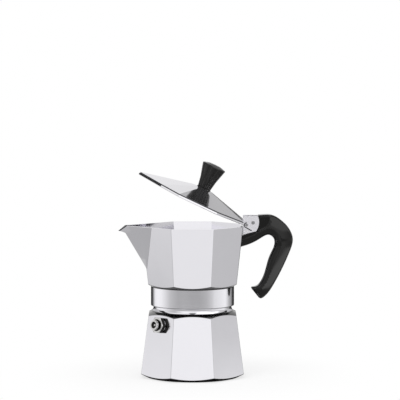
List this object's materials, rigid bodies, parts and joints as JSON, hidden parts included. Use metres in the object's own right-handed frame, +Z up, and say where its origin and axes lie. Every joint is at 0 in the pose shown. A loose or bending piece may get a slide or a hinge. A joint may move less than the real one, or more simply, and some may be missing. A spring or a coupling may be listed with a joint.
{
  "type": "moka pot",
  "caption": "Stovetop moka pot: octagonal boiler with safety valve, coffee funnel, gasket, filter plate, screw-on collector with spout, hinged lid with knob, and side handle.",
  "frame": {"origin": "centre of the flat base that stands on the hob", "axes": "+Z up along the pot's axis, -X towards the spout, +X towards the handle, -Y towards the viewer"},
  "size_m": [0.1489, 0.0876, 0.1835],
  "materials": {
    "cast_aluminium": "polished",
    "spun_aluminium": "satin",
    "valve_brass": "dull plated",
    "steel": "plain",
    "gasket_rubber": "matte",
    "black_plastic": "soft sheen"
  },
  "bodies": {
    "boiler": {"boiler": "cast_aluminium", "valve_body": "valve_brass", "valve_washer": "steel", "valve_seat": "valve_brass", "valve_spring": "steel"},
    "valve_stem": {"valve_stem": "valve_brass"},
    "funnel": {"funnel": "spun_aluminium", "funnel_strainer": "spun_aluminium"},
    "gasket": {"gasket": "gasket_rubber"},
    "filter_plate": {"filter_plate": "spun_aluminium"},
    "collector": {"collector": "cast_aluminium", "handle": "black_plastic", "handle_pin": "steel", "hinge_pin": "steel"},
    "lid": {"lid": "cast_aluminium", "knob": "black_plastic", "knob_washer": "steel", "knob_screw": "steel"}
  },
  "joints": [
    {"name": "valve_press", "type": "slide", "parent": "boiler", "child": "valve_stem", "axis": [-0.7014, -0.7014, 0.1263], "range_m": [0, 0.0012], "stiffness_N_per_m": 200, "springref_m": -0.002, "deforming": ["valve_spring"]},
    {"name": "funnel_lift", "type": "slide", "parent": "boiler", "child": "funnel", "axis": [0, 0, 1], "range_m": [0, 0.0469]},
    {"name": "gasket_lift", "type": "slide", "parent": "funnel", "child": "gasket", "axis": [0, 0, 1], "range_m": [0, 0.0242]},
    {"name": "collector_unscrew", "type": "hinge", "parent": "gasket", "child": "filter_plate", "pos_m": [0, 0, 0.0703], "axis": [0, 0, 1], "range_deg": [0, 1080]},
    {"name": "collector_lift", "type": "slide", "parent": "filter_plate", "child": "collector", "axis": [0, 0, 1], "range_m": [0, 0.0507]},
    {"name": "lid_hinge", "type": "hinge", "parent": "collector", "child": "lid", "pos_m": [0.0459, 0, 0.12962], "axis": [0, 1, 0], "range_deg": [-25.3, 70]}
  ]
}
